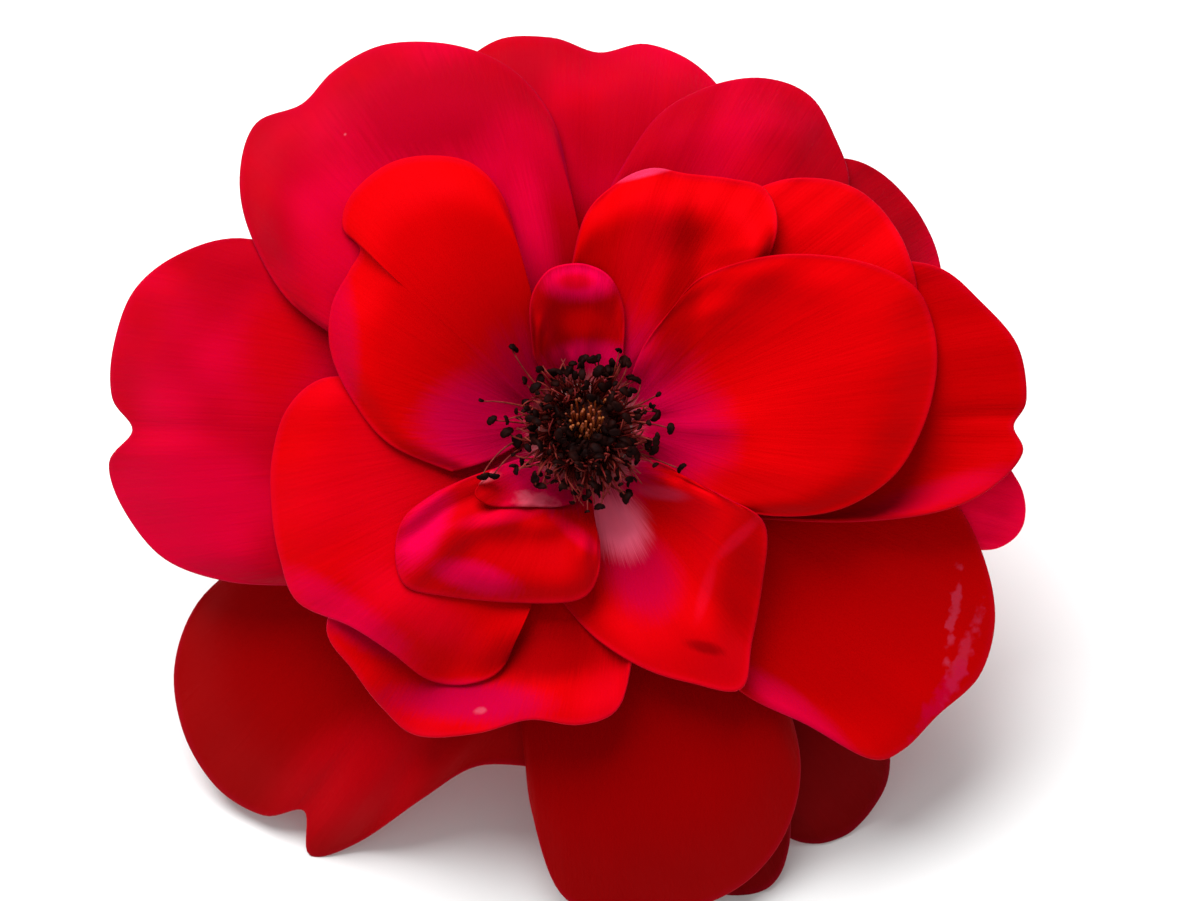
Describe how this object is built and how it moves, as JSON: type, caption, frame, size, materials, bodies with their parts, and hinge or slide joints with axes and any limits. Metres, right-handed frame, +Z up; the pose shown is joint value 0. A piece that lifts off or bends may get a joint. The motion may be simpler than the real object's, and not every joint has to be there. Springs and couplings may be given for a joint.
{
  "type": "cut floribunda rose bloom",
  "caption": "Fully open, semi-double red rose bloom with layered wavy petals, a tuft of dark stamens, green sepals and a short cut stalk.",
  "frame": {"origin": "middle of the part's box, on the surface that the cut bloom lies on", "axes": "+Z up from that surface; +X to the right of the bloom as seen from its open side; the bloom's axis leans 28 degrees from +Z towards -Y"},
  "size_m": [0.0812, 0.0664, 0.0488],
  "materials": {
    "petal": "matte velvety red petal",
    "petal_shade": "matte dark red petal",
    "sepal": "matte leafy green",
    "stalk": "smooth waxy green",
    "stamen": "dry dark brown",
    "style": "golden orange"
  },
  "bodies": {
    "root": {"stalk": "stalk", "hip": "stalk", "sepal_1": "sepal", "sepal_2": "sepal", "sepal_3": "sepal", "sepal_4": "sepal", "sepal_5": "sepal", "petal_outer_right_tip": "petal", "petal_outer_right_upper": "petal", "petal_back_right": "petal_shade", "petal_back_bottom_tip": "petal_shade", "petal_outer_top": "petal", "petal_back_left": "petal_shade", "petal_back_bottom": "petal_shade", "petal_outer_right_lower": "petal", "petal_outer_left": "petal", "petal_outer_top_right": "petal", "petal_outer_right": "petal", "petal_outer_top_left": "petal", "petal_middle_bottom": "petal", "petal_middle_left": "petal", "petal_middle_top_right": "petal", "petal_inner_top": "petal", "petal_inner_right": "petal", "petal_inner_left": "petal", "petal_middle_right": "petal", "petal_small_left": "petal", "petal_small_bottom": "petal", "petal_small_top": "petal", "stamens": "stamen", "styles": "style"}
  },
  "joints": []
}
